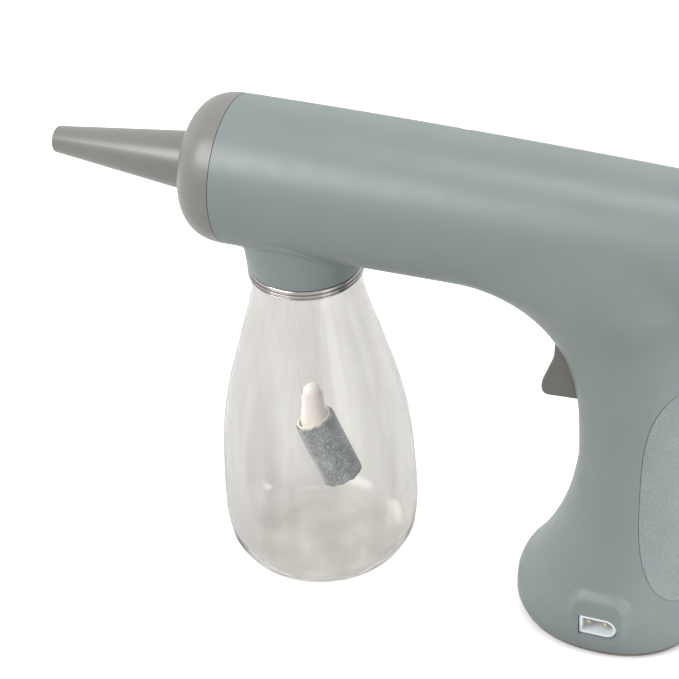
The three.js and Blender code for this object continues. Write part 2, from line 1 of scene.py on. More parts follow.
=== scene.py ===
"""Cordless mist spray gun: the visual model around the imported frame. Sizes are in mm."""
import json
import math

import bpy
import numpy as np
from mathutils import Matrix, Vector


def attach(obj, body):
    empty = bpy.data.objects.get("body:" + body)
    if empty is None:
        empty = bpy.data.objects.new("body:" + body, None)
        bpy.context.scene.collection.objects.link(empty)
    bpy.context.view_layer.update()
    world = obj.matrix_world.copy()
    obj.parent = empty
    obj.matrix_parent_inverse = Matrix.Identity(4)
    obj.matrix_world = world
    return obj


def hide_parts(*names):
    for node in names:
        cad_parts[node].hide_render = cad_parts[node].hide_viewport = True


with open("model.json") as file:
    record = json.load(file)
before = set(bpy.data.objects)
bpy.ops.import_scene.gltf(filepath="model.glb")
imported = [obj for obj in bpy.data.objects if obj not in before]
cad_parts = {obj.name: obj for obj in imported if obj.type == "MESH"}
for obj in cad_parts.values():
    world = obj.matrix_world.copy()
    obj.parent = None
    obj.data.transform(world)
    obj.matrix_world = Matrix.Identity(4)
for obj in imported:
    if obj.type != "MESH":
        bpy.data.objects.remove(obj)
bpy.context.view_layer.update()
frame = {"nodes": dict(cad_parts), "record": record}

MM = 0.001
GAP = 0.3            # clearance between neighbouring visible parts
WALL = 2.5
WIDE = 60            # half-width of a cutter that passes right through

BARREL_Z = 198.0
BARREL_R = 32.0
SEAM_X = -166.0
REAR_X = 52.0
CAP_END_X = 74.0
DROOP = 4.1

NOSE_DEPTH = 19.0
TIP_X = -251.0
TIP_R = 5.74
CONE_SLOPE = 0.1117

BOTTLE_X = -138.0
BOTTLE_WALL = 1.3
NECK_R = 21.6
NECK_TOP = 159.8

HANDLE_POWER = 2.25
HANDLE = np.array([
    [0, -37.2, 40.2, 34.6], [3, -39.4, 41.2, 36.2], [10, -42, 42, 37.2],
    [18, -41.5, 41.5, 36.5], [28, -35.3, 40.5, 33.5], [40, -28.6, 39, 30],
    [55, -22.3, 37.5, 26.6], [72, -17.6, 36.5, 24], [90, -15.2, 36, 22.6],
    [108, -15.6, 36, 22], [124, -17.7, 36.5, 22.2], [138, -22, 38, 23],
    [150, -27.3, 40.5, 24.2], [160, -30.9, 43.5, 25.6], [168, -33.5, 46, 27],
    [178, -38.7, 48, 28.3],
])
PAD_CENTRE = (49.6, 82.9)
PAD_REACH = (33.0, 57.8)
PAD_POWER = 2.8
PAD_DEPTH = 1.2
PAD_RECESS_GROW = 0.22
TRIGGER_HALF = 7.5
TRIGGER_PIVOT = (-17, 149)
TRIGGER_HUB_R = 4.4
SLOT_LOW, SLOT_HIGH = 112, 147.2
SLOT_SIDE_GAP = 0.6

INLET_BOX = (-5, 11.6, 11.5, 21.5)    # x and z limits of its outer face
PIN_XS = (-1.4, 5.6)
PIN_Z = 16.5
COVER_SCREWS = ((-23, -24.5), (-23, 24.5), (25, -24.5), (25, 24.5))
COLLAR_R = 25.8


# ---------- camera ----------

CAMERA_ANGLES = (23.15, 36.32, -3.57)    # azimuth, elevation and roll, in degrees
CAMERA_PLACE = (0.19276, -0.74229, 0.71119)
CAMERA_LENS = 122.17


def make_camera():
    azimuth, elevation, roll = (math.radians(a) for a in CAMERA_ANGLES)
    back = Vector((math.sin(azimuth) * math.cos(elevation),
                   -math.cos(azimuth) * math.cos(elevation), math.sin(elevation)))
    level = Vector((math.cos(azimuth), math.sin(azimuth), 0))
    upright = back.cross(level)
    right = math.cos(roll) * level + math.sin(roll) * upright
    up = math.cos(roll) * upright - math.sin(roll) * level
    place = Matrix((right, up, back)).transposed().to_4x4()
    place.translation = Vector(CAMERA_PLACE)
    data = bpy.data.cameras.new("camera")
    data.lens = CAMERA_LENS
    data.sensor_width = 36
    data.clip_end = 20
    camera = bpy.data.objects.new("camera", data)
    bpy.context.scene.collection.objects.link(camera)
    camera.matrix_world = place
    bpy.context.scene.camera = camera


make_camera()


# ---------- materials ----------

GLOSS_SPREAD = 0.06    # how far a moulded finish's roughness strays either way
EDGE_HIGHLIGHT = 0.12       # how far its sharp edges are lightened towards a paler tone: a painted highlight


def principled(name):
    material = bpy.data.materials.new(name)
    material.use_nodes = True
    nodes = material.node_tree.nodes
    return material, nodes, material.node_tree.links, nodes["Principled BSDF"]


def add_node(nodes, kind, **values):
    node = nodes.new(kind)
    for key, value in values.items():
        if hasattr(node, key):
            setattr(node, key, value)
        else:
            node.inputs[key.replace("_", " ")].default_value = value
    return node


def noise(nodes, links, scale, detail=3.0, stretch=None):
    coords = add_node(nodes, "ShaderNodeTexCoord")
    source = coords.outputs["Object"]
    if stretch:
        mapping = add_node(nodes, "ShaderNodeMapping")
        mapping.inputs["Scale"].default_value = stretch
        links.new(source, mapping.inputs["Vector"])
        source = mapping.outputs["Vector"]
    texture = add_node(nodes, "ShaderNodeTexNoise", Scale=scale, Detail=detail)
    links.new(source, texture.inputs["Vector"])
    return texture.outputs["Fac"]


def ramp(nodes, links, source, stops):
    node = add_node(nodes, "ShaderNodeValToRGB")
    elements = node.color_ramp.elements
    while len(elements) < len(stops):
        elements.new(0.5)
    for element, (position, value) in zip(elements, stops):
        element.position = position
        colour = value if isinstance(value, tuple) else (value, value, value)
        element.color = (*colour, 1)
    links.new(source, node.inputs["Fac"])
    return node.outputs["Color"]


def scaled(colour, factor):
    return tuple(min(1.0, c * factor) for c in colour)


def linear(*srgb):
    return tuple(((c / 255 + 0.055) / 1.055) ** 2.4 if c > 10 else c / 3294 for c in srgb)


def bump(nodes, links, shader, source, distance, strength=1.0, previous=None):
    node = add_node(nodes, "ShaderNodeBump", Strength=strength, Distance=distance)
    links.new(source, node.inputs["Height"])
    if previous:
        links.new(previous, node.inputs["Normal"])
    links.new(node.outputs["Normal"], shader.inputs["Normal"])
    return node.outputs["Normal"]


def multiplied(nodes, links, first, second):
    mix = add_node(nodes, "ShaderNodeMix", data_type="RGBA", blend_type="MULTIPLY")
    mix.inputs["Factor"].default_value = 1.0
    links.new(first, mix.inputs["A"])
    links.new(second, mix.inputs["B"])
    return mix.outputs["Result"]


def moulded(name, colour, rough, grain=1400.0, depth=0.00003, vary=0.05, coat=0.0):
    """Moulded finish: cloudy colour, uneven gloss, fine grain, and a painted highlight that pales
    its sharp edges.
    """
    material, nodes, links, shader = principled(name)
    cloud = noise(nodes, links, 38.0, 4.0)
    tint = ramp(nodes, links, cloud, [(0.3, scaled(colour, 1 - vary)),
                                      (0.7, scaled(colour, 1 + vary))])
    # Sharp convex edges are mixed towards a paler tone: a painted highlight.
    edge = add_node(nodes, "ShaderNodeNewGeometry").outputs["Pointiness"]
    painted_highlight = ramp(nodes, links, edge, [(0.53, 0.0), (0.62, EDGE_HIGHLIGHT)])
    mix = add_node(nodes, "ShaderNodeMix", data_type="RGBA", blend_type="MIX")
    links.new(painted_highlight, mix.inputs["Factor"])
    links.new(tint, mix.inputs["A"])
    mix.inputs["B"].default_value = (*scaled(colour, 1.35), 1)
    links.new(mix.outputs["Result"], shader.inputs["Base Color"])
    gloss = ramp(nodes, links, noise(nodes, links, 120.0, 5.0),
                 [(0.25, rough - GLOSS_SPREAD), (0.75, rough + GLOSS_SPREAD)])
    links.new(gloss, shader.inputs["Roughness"])
    shader.inputs["Coat Weight"].default_value = coat
    shader.inputs["Coat Roughness"].default_value = 0.25
    fine = bump(nodes, links, shader, noise(nodes, links, grain, 2.0), depth)
    bump(nodes, links, shader, noise(nodes, links, 70.0, 2.0), 0.00012, 0.25, fine)
    return material


def grip_rubber(colour):
    """Closely pebbled rubber, paler on the tops of its grain."""
    material, nodes, links, shader = principled("pad")
    coords = add_node(nodes, "ShaderNodeTexCoord")
    cells = add_node(nodes, "ShaderNodeTexVoronoi", Scale=1500.0, Randomness=1.0)
    links.new(coords.outputs["Object"], cells.inputs["Vector"])
    fine = noise(nodes, links, 2200.0, 3.0)
    tone = ramp(nodes, links, cells.outputs["Distance"],
                [(0.05, scaled(colour, 1.12)), (0.6, scaled(colour, 0.86))])
    cloud = ramp(nodes, links, noise(nodes, links, 60.0, 4.0), [(0.3, 0.93), (0.7, 1.05)])
    links.new(multiplied(nodes, links, tone, cloud), shader.inputs["Base Color"])
    gloss = ramp(nodes, links, fine, [(0.3, 0.52), (0.7, 0.72)])
    links.new(gloss, shader.inputs["Roughness"])
    height = add_node(nodes, "ShaderNodeMath", operation="MULTIPLY_ADD")
    links.new(cells.outputs["Distance"], height.inputs[0])
    height.inputs[1].default_value = -1.0
    links.new(fine, height.inputs[2])
    bump(nodes, links, shader, height.outputs[0], 0.00028, 0.9)
    return material


def clear_plastic(name, colour, rough, ior, streak=0.05, wave=0.5, coat=0.0):
    """Clear blown or drawn plastic: upright streaks, ripples, and a pale shadow."""
    material, nodes, links, shader = principled(name)
    shader.inputs["Transmission Weight"].default_value = 1.0
    shader.inputs["IOR"].default_value = ior
    shader.inputs["Coat Weight"].default_value = coat
    shader.inputs["Coat Roughness"].default_value = 0.12
    haze = ramp(nodes, links, noise(nodes, links, 75.0, 4.0, (1.0, 1.0, 0.1)),
                [(0.35, scaled(colour, 1 - streak)), (0.65, scaled(colour, 1 + streak))])
    links.new(haze, shader.inputs["Base Color"])
    gloss = ramp(nodes, links, noise(nodes, links, 90.0, 5.0),
                 [(0.35, rough * 0.5), (0.75, rough * 1.6)])
    links.new(gloss, shader.inputs["Roughness"])
    waves = noise(nodes, links, 30.0, 1.5, (1.0, 1.0, 0.22))
    bump(nodes, links, shader, waves, 0.0012, wave)
    shadow = add_node(nodes, "ShaderNodeBsdfTransparent")
    shadow.inputs["Color"].default_value = (0.96, 0.96, 0.955, 1)
    path = add_node(nodes, "ShaderNodeLightPath")
    swap = add_node(nodes, "ShaderNodeMixShader")
    links.new(path.outputs["Is Shadow Ray"], swap.inputs[0])
    links.new(shader.outputs[0], swap.inputs[1])
    links.new(shadow.outputs[0], swap.inputs[2])
    links.new(swap.outputs[0], nodes["Material Output"].inputs["Surface"])
    return material


def felt(name, colour, fleck):
    """Matted fibres with paler flecks, in uneven clouds."""
    material, nodes, links, shader = principled(name)
    fibre = noise(nodes, links, 1500.0, 6.0, (1.0, 1.0, 0.8))
    tone = ramp(nodes, links, fibre, [(0.36, scaled(colour, 0.7)), (0.52, colour),
                                      (0.68, fleck)])
    cloud = ramp(nodes, links, noise(nodes, links, 170.0, 4.0), [(0.38, 0.78), (0.62, 1.08)])
    links.new(multiplied(nodes, links, tone, cloud), shader.inputs["Base Color"])
    shader.inputs["Roughness"].default_value = 0.95
    shader.inputs["Sheen Weight"].default_value = 0.3
    bump(nodes, links, shader, fibre, 0.0004, 0.8)
    return material


def metal(name, colour, rough, stretch=(1.0, 1.0, 1.0)):
    """Polished or drawn metal, with lines along its least stretched axis."""
    material, nodes, links, shader = principled(name)
    shader.inputs["Metallic"].default_value = 1.0
    lines = noise(nodes, links, 500.0, 4.0, stretch)
    tone = ramp(nodes, links, lines, [(0.3, scaled(colour, 0.9)), (0.7, scaled(colour, 1.05))])
    links.new(tone, shader.inputs["Base Color"])
    gloss = ramp(nodes, links, lines, [(0.3, rough * 0.8), (0.7, rough * 1.25)])
    links.new(gloss, shader.inputs["Roughness"])
    bump(nodes, links, shader, lines, 0.00003, 0.6)
    return material


MATERIALS = {
    "shell": moulded("shell", linear(115, 125, 124), 0.37, grain=2600.0, depth=0.000018,
                     vary=0.025),
    "nose": moulded("nose", linear(113, 112, 108), 0.38, grain=2200.0, depth=0.00002,
                    coat=0.45),
    "nozzle": moulded("nozzle", linear(109, 108, 104), 0.38, grain=2200.0, depth=0.00002,
                      coat=0.7),
    "trigger": moulded("trigger", linear(94, 93, 88), 0.5, grain=1500.0),
    "pad": grip_rubber(linear(136, 143, 143)),
    # The rim material's darker brown-grey is painted shade with a warm painted reflection along
    # the foot's bottom edge.
    "rim": moulded("rim", linear(108, 103, 97), 0.6),
    "white": moulded("white", linear(217, 213, 208), 0.45, vary=0.03),
    "inlet": moulded("inlet", linear(222, 226, 228), 0.35, vary=0.02),
    "silver": metal("silver", linear(190, 186, 184), 0.14, (1.0, 1.0, 8.0)),
    "steel": metal("steel", linear(168, 170, 172), 0.35, (0.3, 4.0, 4.0)),
    "brass": metal("brass", linear(214, 203, 184), 0.25),
    # The clear plastic's grey tint is partly its own and partly painted shade: the greyer
    # backdrop seen through the bottle.
    "clear": clear_plastic("clear", (0.882, 0.874, 0.858), 0.03, 1.1, 0.06, 0.35, 0.4),
    "hose": clear_plastic("hose", (0.985, 0.983, 0.978), 0.08, 1.025, 0.01, 0.03, 0.3),
    "sleeve": felt("sleeve", linear(137, 142, 145), linear(180, 184, 186)),
    "foam": felt("foam", linear(52, 55, 57), linear(80, 82, 84)),
    "rubber": moulded("rubber", linear(44, 45, 46), 0.75),
    "black": moulded("black", linear(58, 60, 62), 0.5),
    "board": moulded("board", linear(46, 106, 68), 0.4, vary=0.1),
    "cell": moulded("cell", linear(62, 110, 164), 0.35, coat=0.4),
}
SLOTS = {row["node"]: row["material_slot"] for row in frame["record"]["subparts"]}
for node, cad in frame["nodes"].items():
    cad.data.materials.clear()
    cad.data.materials.append(MATERIALS[SLOTS[node]])


# ---------- mesh tools ----------

def make_object(name, verts, faces):
    mesh = bpy.data.meshes.new(name)
    mesh.from_pydata((np.asarray(verts, float) * MM).tolist(), [], faces)
    mesh.update()
    obj = bpy.data.objects.new(name, mesh)
    bpy.context.scene.collection.objects.link(obj)
    return obj


def verts_of(obj):
    flat = np.empty(len(obj.data.vertices) * 3)
    obj.data.vertices.foreach_get("co", flat)
    return flat.reshape(-1, 3) / MM


def with_verts(name, source, verts):
    obj = bpy.data.objects.new(name, source.data.copy())
    obj.data.vertices.foreach_set("co", (np.asarray(verts) * MM).ravel())
    obj.data.update()
    bpy.context.scene.collection.objects.link(obj)
    return obj


def discard(*objs):
    for obj in objs:
        mesh = obj.data
        bpy.data.objects.remove(obj)
        bpy.data.meshes.remove(mesh)


def applied(obj):
    graph = bpy.context.evaluated_depsgraph_get()
    mesh = bpy.data.meshes.new_from_object(obj.evaluated_get(graph))
    old = obj.data
    obj.modifiers.clear()
    obj.data = mesh
    bpy.data.meshes.remove(old)
    return obj


def boolean(obj, operation, *others):
    for other in others:
        modifier = obj.modifiers.new("boolean", "BOOLEAN")
        modifier.operation = operation
        modifier.solver = "MANIFOLD"
        modifier.object = other
        applied(obj)
        discard(other)


def outward(obj):
    """Turns a closed mesh's faces outward."""
    mesh = obj.data
    mesh.calc_loop_triangles()
    points = verts_of(obj)
    corners = np.array([t.vertices[:] for t in mesh.loop_triangles])
    a, b, c = (points[corners[:, k]] for k in range(3))
    if np.einsum("ij,ij->i", a, np.cross(b, c)).sum() < 0:
        mesh.flip_normals()
    return obj


def finished(obj, slot, body, nodes, sharp=32.0, look=None):
    """Shades a visible piece, gives it the material of its look, else of its slot, ties it to its
    body and hides its CAD nodes.
    """
    mesh = obj.data
    mesh.shade_smooth()
    mesh.set_sharp_from_angle(angle=math.radians(sharp))
    mesh.materials.clear()
    mesh.materials.append(MATERIALS[look or slot])
    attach(obj, body)
    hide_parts(*nodes)


def rounded(points, radius, closed=True, steps=4):
    """The polyline with each corner replaced by an arc of about this radius."""
    points = [np.array(p, float) for p in points]
    count = len(points)
    result = []
    for k, point in enumerate(points):
        if not closed and k in (0, count - 1):
            result.append(tuple(point))
            continue
        before, after = points[k - 1] - point, points[(k + 1) % count] - point
        reach = min(radius, 0.45 * np.linalg.norm(before), 0.45 * np.linalg.norm(after))
        first = point + before / np.linalg.norm(before) * reach
        last = point + after / np.linalg.norm(after) * reach
        for t in np.linspace(0, 1, steps + 1):
            result.append(tuple((1 - t) ** 2 * first + 2 * t * (1 - t) * point + t * t * last))
    return result


def revolved(name, profile, sides, axis="z", centre=(0, 0, 0), closed=True):
    """A solid of revolution. Profile pairs are (radius, height)."""
    angles = np.linspace(0, 2 * math.pi, sides, endpoint=False)
    verts, rings = [], []
    for radius, height in profile:
        start = len(verts)
        if radius < 1e-6:
            spots = [(0.0, 0.0, height)]
        else:
            spots = [(radius * math.cos(a), radius * math.sin(a), height) for a in angles]
        for u, v, w in spots:
            local = (w, u, v) if axis == "x" else (v, w, u) if axis == "y" else (u, v, w)
            verts.append(tuple(np.add(local, centre)))
        rings.append(list(range(start, len(verts))))
    pairs = list(zip(rings, rings[1:]))
    if closed:
        pairs.append((rings[-1], rings[0]))
    faces = []
    for low, high in pairs:
        for k in range(sides):
            n = (k + 1) % sides
            if len(low) == 1 and len(high) == 1:
                break
            if len(low) == 1:
                faces.append((low[0], high[n], high[k]))
            elif len(high) == 1:
                faces.append((low[k], low[n], high[0]))
            else:
                faces.append((low[k], low[n], high[n], high[k]))
    return outward(make_object(name, verts, faces))


def extruded(name, shape, low, high, axis="y", edge=0.0, steps=4):
    """A prism from a side view outline [(x, z)...], with edges rounded by an inset."""
    shape = np.array(shape, float)
    ahead = np.roll(shape, -1, 0) - shape
    behind = shape - np.roll(shape, 1, 0)
    tangent = ahead / np.linalg.norm(ahead, axis=1)[:, None]
    tangent = tangent + behind / np.linalg.norm(behind, axis=1)[:, None]
    tangent /= np.linalg.norm(tangent, axis=1)[:, None]
    area = np.sum(shape[:, 0] * np.roll(shape[:, 1], -1) - np.roll(shape[:, 0], -1) * shape[:, 1])
    inward = np.stack([-tangent[:, 1], tangent[:, 0]], 1) * np.sign(area)
    if edge:
        layers = [(low + edge * (1 - math.cos(t)), edge * (1 - math.sin(t)))
                  for t in np.linspace(0, math.pi / 2, steps + 1)]
        layers += [(high - (y - low), inset) for y, inset in reversed(layers)]
    else:
        layers = [(low, 0.0), (high, 0.0)]
    verts, faces = [], []
    count = len(shape)
    for y, inset in layers:
        for u, w in shape + inward * inset:
            verts.append((u, y, w) if axis == "y" else (y, u, w) if axis == "x" else (u, w, y))
    for k in range(len(layers) - 1):
        for j in range(count):
            n = (j + 1) % count
            faces.append((k * count + j, k * count + n, (k + 1) * count + n,
                          (k + 1) * count + j))
    faces.append(tuple(range(count - 1, -1, -1)))
    faces.append(tuple(range(len(verts) - count, len(verts))))
    return outward(make_object(name, verts, faces))


def block(x0, x1, y0, y1, z0, z1):
    return extruded("block", [(x0, z0), (x1, z0), (x1, z1), (x0, z1)], y0, y1)


def flattened(value, power):
    """One coordinate of a point on an oval that is squarer than an ellipse."""
    return np.sign(value) * np.abs(value) ** (2 / power)


def smooth_at(table, column, at):
    """Smooth, overshoot-free value of one column of a table sorted by its first."""
    x, y = table[:, 0], table[:, column]
    slope = np.diff(y) / np.diff(x)
    a, b = slope[:-1], slope[1:]
    product = a * b
    inner = np.where(product <= 0, 0, 2 * product / np.where(product <= 0, 1, a + b))
    tangent = np.concatenate([[slope[0]], inner, [slope[-1]]])
    at = np.clip(at, x[0], x[-1])
    k = np.clip(np.searchsorted(x, at) - 1, 0, len(x) - 2)
    span = x[k + 1] - x[k]
    t = (at - x[k]) / span
    return ((1 + 2 * t) * (1 - t) ** 2 * y[k] + t * (1 - t) ** 2 * span * tangent[k]
            + t * t * (3 - 2 * t) * y[k + 1] - t * t * (1 - t) * span * tangent[k + 1])


# ---------- outer form of the housing ----------

def droop(x):
    return DROOP * (np.clip(x - SEAM_X, 0, None) / 190) ** 1.9


def handle_at(z):
    return [smooth_at(HANDLE, k, z) for k in (1, 2, 3)]


BLEND = 6.0          # least rounding between handle and barrel
BLEND_AHEAD = 26.0   # what is added to it from x = BLEND_START forwards
BLEND_START = 45.0
SPREAD_Z = 174.0     # above this the handle's form fades out inside the barrel


def skin_distance(p):
    """About the distance outside the housing: the barrel and the handle, run together."""
    x, y, z = p.T
    drop = droop(x)
    barrel = np.hypot(y, z - BARREL_Z + drop / 2) - BARREL_R + drop / 2
    front, rear, half = handle_at(z)
    dx = x - (front + rear) / 2
    level = (np.abs(dx / ((rear - front) / 2)) ** HANDLE_POWER
             + np.abs(y / half) ** HANDLE_POWER + 1e-9) ** (1 / HANDLE_POWER)
    handle = np.hypot(dx, y) * (1 - 1 / level) + 0.03 * np.clip(z - SPREAD_Z, 0, None) ** 2
    ahead = np.clip((BLEND_START - x) / BLEND_START, 0, 1)
    blend = BLEND + BLEND_AHEAD * ahead ** 2 * (3 - 2 * ahead)
    share = np.clip(0.5 + 0.5 * (handle - barrel) / blend, 0, 1)
    return handle * (1 - share) + barrel * share - blend * share * (1 - share)


def settle(points, depth, steps=8):
    """Moves points onto the surface that lies depth inside the housing's skin."""
    points = points.copy()
    x, z = points[:, 0], points[:, 2]
    live = (x > SEAM_X - 7) & (x < REAR_X + 7) & (z > -4)
    p = points[live]
    for _ in range(steps):
        value = skin_distance(p) + depth
        slope = np.stack([skin_distance(p + d) - skin_distance(p - d)
                          for d in np.eye(3) * 0.05], 1) / 0.1
        p -= slope * (value / np.maximum((slope ** 2).sum(1), 0.2))[:, None]
    points[live] = p
    if depth:
        out = ~live
        points[out & (x < SEAM_X - 6.9), 0] -= 4
        points[out & (x > REAR_X + 6.9), 0] += 4
        points[out & (z < -3.9), 2] -= 4
    return points


def ring_mesh(name, rings):
    count = len(rings[0])
    faces = [(i * count + j, i * count + (j + 1) % count,
              (i + 1) * count + (j + 1) % count, (i + 1) * count + j)
             for i in range(len(rings) - 1) for j in range(count)]
    faces.append(tuple(range(count - 1, -1, -1)))
    faces.append(tuple(range((len(rings) - 1) * count, len(rings) * count)))
    return outward(make_object(name, np.concatenate(rings), faces))


def rough_form():
    """Closed barrel and handle, merged into one even skin of small faces."""
    angle = np.linspace(0, 2 * math.pi, 96, endpoint=False)
    barrel = []
    for x in np.linspace(SEAM_X - 12, REAR_X + 12, 40):
        drop = float(droop(np.array(x))) / 2
        barrel.append(np.stack([np.full(96, x), (BARREL_R - drop) * np.cos(angle),
                                BARREL_Z - drop + (BARREL_R - drop) * np.sin(angle)], 1))
    handle = []
    for z in np.linspace(-9, 186, 70):
        front, rear, half = (float(v) for v in handle_at(np.array(z)))
        reach = (rear - front) / 2
        handle.append(np.stack([(front + rear) / 2
                                + reach * flattened(np.cos(angle), HANDLE_POWER),
                                half * flattened(np.sin(angle), HANDLE_POWER),
                                np.full(96, z)], 1))
    form = ring_mesh("form", barrel)
    boolean(form, "UNION", ring_mesh("handle_form", handle))
    remesh = form.modifiers.new("remesh", "REMESH")
    remesh.mode = "VOXEL"
    remesh.voxel_size = 0.0012
    return applied(form)


def pad_outline(grow=0.0, count=200):
    angle = np.linspace(0, 2 * math.pi, count, endpoint=False)
    return np.stack([
        PAD_CENTRE[0] + (PAD_REACH[0] + grow) * flattened(np.cos(angle), PAD_POWER),
        PAD_CENTRE[1] + (PAD_REACH[1] + grow) * flattened(np.sin(angle), PAD_POWER)], 1)


def inlet_outline(grow):
    """D-shaped side view of the inlet's face, grown or shrunk all round."""
    x0, x1, z0, z1 = INLET_BOX
    x0, x1, z0, z1 = x0 - grow, x1 + grow, z0 - grow, z1 + grow
    radius = (z1 - z0) / 2
    arc = [(x1 - radius + radius * math.sin(a), (z0 + z1) / 2 - radius * math.cos(a))
           for a in np.linspace(0, math.pi, 25)]
    return [(x0, z0)] + arc + [(x0, z1)]


BOSS_FACE = 37.1     # how far the soft boss around the inlet stands from the middle plane
BOSS_REACH = 8.0
BOSS_CENTRE = (3, 19)
BOSS_HALF = 6
BOSS_EDGE = 3.4      # over this width the boss falls back to the skin


def bossed(points):
    """Raises the skin around the power inlet into a soft flat-faced boss."""
    points = points.copy()
    x, y, z = points.T
    aside = np.hypot(np.clip(np.abs(x - BOSS_CENTRE[0]) - BOSS_HALF, 0, None),
                     np.clip(np.abs(z - BOSS_CENTRE[1]) - BOSS_HALF, 0, None))
    share = np.clip((BOSS_REACH - aside) / BOSS_EDGE, 0, 1)
    share = share ** 2 * (3 - 2 * share)
    face = BOSS_FACE - 0.1 * np.clip(z - 15, 0, None)
    raised = np.minimum(y, y * (1 - share) - face * share)
    points[:, 1] = np.where(y < -20, raised, y)
    return points


SCREWS = [(-148, 222.5), (-70, 222.5), (-8, 219.5), (-60, 172.2), (2, 102.6), (28, 130),
          (-31, 14), (33, 12.5)]


def build_housing():
    form = rough_form()
    points = settle(verts_of(form), 0)
    level = {depth: with_verts("level", form, settle(points, depth))
             for depth in (0, PAD_DEPTH, PAD_DEPTH + GAP, WALL)}
    discard(form)

    pad = with_verts("grip_pad_skin", level[0], verts_of(level[0]))
    boolean(pad, "DIFFERENCE", level[PAD_DEPTH])
    boolean(pad, "INTERSECT", extruded("cut", pad_outline(), -WIDE, WIDE))
    finished(pad, "pad", "gun", ["grip_pad"])

    shell = with_verts("housing_skin", level[0], bossed(verts_of(level[0])))
    discard(level[0])
    boolean(shell, "DIFFERENCE", level[WALL])
    recess = extruded("recess", pad_outline(PAD_RECESS_GROW), -WIDE, WIDE)
    boolean(recess, "DIFFERENCE", level[PAD_DEPTH + GAP])
    slot_half = TRIGGER_HALF + SLOT_SIDE_GAP
    slot = extruded("slot", rounded([(-45, SLOT_LOW), (-6, SLOT_LOW), (-6, SLOT_HIGH),
                                     (-45, SLOT_HIGH)], 1), -slot_half, slot_half)
    boolean(shell, "DIFFERENCE", recess, slot,
            extruded("inlet", inlet_outline(GAP), -WIDE, -16),
            block(SEAM_X - 30, SEAM_X, -WIDE, WIDE, 100, 300),
            block(REAR_X, REAR_X + 30, -WIDE, WIDE, 100, 300),
            block(-80, 80, -WIDE, WIDE, -30, 3.2),
            revolved("hole", [(0, 150), (5, 150), (5, 173), (0, 173)], 32,
                     centre=(BOTTLE_X, 0, 0), closed=False))
    for x, z in SCREWS:
        boolean(shell, "DIFFERENCE",
                revolved("well", [(0, 9), (3.1, 9), (3.1, 50), (0, 50)], 28, "y", (x, 0, z),
                         closed=False))
    finished(shell, "shell", "gun", ["housing_left", "housing_right"])


build_housing()


# ---------- nose, nozzle and rear cap ----------

def nozzle_radius(x):
    return TIP_R + CONE_SLOPE * (x - TIP_X)


def dome(radius, edge, start, depth, power, steps=28):
    """Quarter of a rounded form, from (radius, start) in to (edge, start + depth)."""
    angles = np.linspace(0, math.pi / 2, steps)
    return [(edge + (radius - edge) * abs(math.cos(a)) ** power[0],
             start + depth * math.sin(a) ** power[1]) for a in angles]


def build_nose():
    edge = nozzle_radius(SEAM_X - NOSE_DEPTH) + GAP
    outer = dome(BARREL_R, edge, SEAM_X - GAP, -NOSE_DEPTH, (0.8, 0.8))
    inner = dome(BARREL_R - WALL, edge, SEAM_X - GAP, -(NOSE_DEPTH - WALL), (0.8, 0.8))
    rim = [(27.2, SEAM_X - 3), (27.2, SEAM_X + 6), (28.8, SEAM_X + 6), (28.8, SEAM_X - GAP)]
    profile = outer + inner[10:][::-1] + rim
    finished(revolved("nose_cap_skin", profile, 128, "x", (0, 0, BARREL_Z)),
             "nose", "gun", ["nose_cap"])

    shoulder = SEAM_X - NOSE_DEPTH
    root = nozzle_radius(shoulder)
    profile = rounded([(3.7, TIP_X), (TIP_R, TIP_X), (root, shoulder),
                       (root, shoulder + 3.1), (15.6, shoulder + 3.1),
                       (15.6, shoulder + 5.3), (11, shoulder + 5.3), (10.6, shoulder),
                       (3.7, TIP_X + 14)], 0.9)
    finished(revolved("nozzle_skin", profile, 96, "x", (0, 0, BARREL_Z)),
             "nozzle", "nozzle_body", ["nozzle"])


def build_rear_cap():
    drop = float(droop(np.array(REAR_X))) / 2
    radius, centre, start = BARREL_R - drop, BARREL_Z - drop, REAR_X + GAP
    depth = CAP_END_X - start
    outer = dome(radius, 0, start, depth, (0.6, 0.9))
    inner = dome(radius - 2.3, 0, start, depth - 2.3, (0.6, 0.9))
    outer[-1] = (0.0, outer[-1][1])
    inner[-1] = (0.0, inner[-1][1])
    rim = [(24.8, start + 3), (24.8, start - 5), (26.3, start - 5), (26.3, start)]
    cap = revolved("rear_cap_skin", inner[9:][::-1] + rim + outer, 128, "x", (0, 0, centre),
                   closed=False)
    for z in (-12, -6, 0, 6, 12):
        half = math.sqrt(20 ** 2 - z ** 2)
        shape = rounded([(-half, z - 1.6), (half, z - 1.6), (half, z + 1.6), (-half, z + 1.6)],
                        1.4)
        shape = [(y, centre + w) for y, w in shape]
        boolean(cap, "DIFFERENCE", extruded("vent", shape, 60, 80, "x"))
    finished(cap, "shell", "gun", ["rear_cap"])


build_nose()
build_rear_cap()


# ---------- trigger, inlet and base ----------

def bezier(a, b, c, d, count=10):
    return [tuple((1 - t) ** 3 * np.array(a) + 3 * t * (1 - t) ** 2 * np.array(b)
                  + 3 * t * t * (1 - t) * np.array(c) + t ** 3 * np.array(d))
            for t in np.linspace(0, 1, count, endpoint=False)]


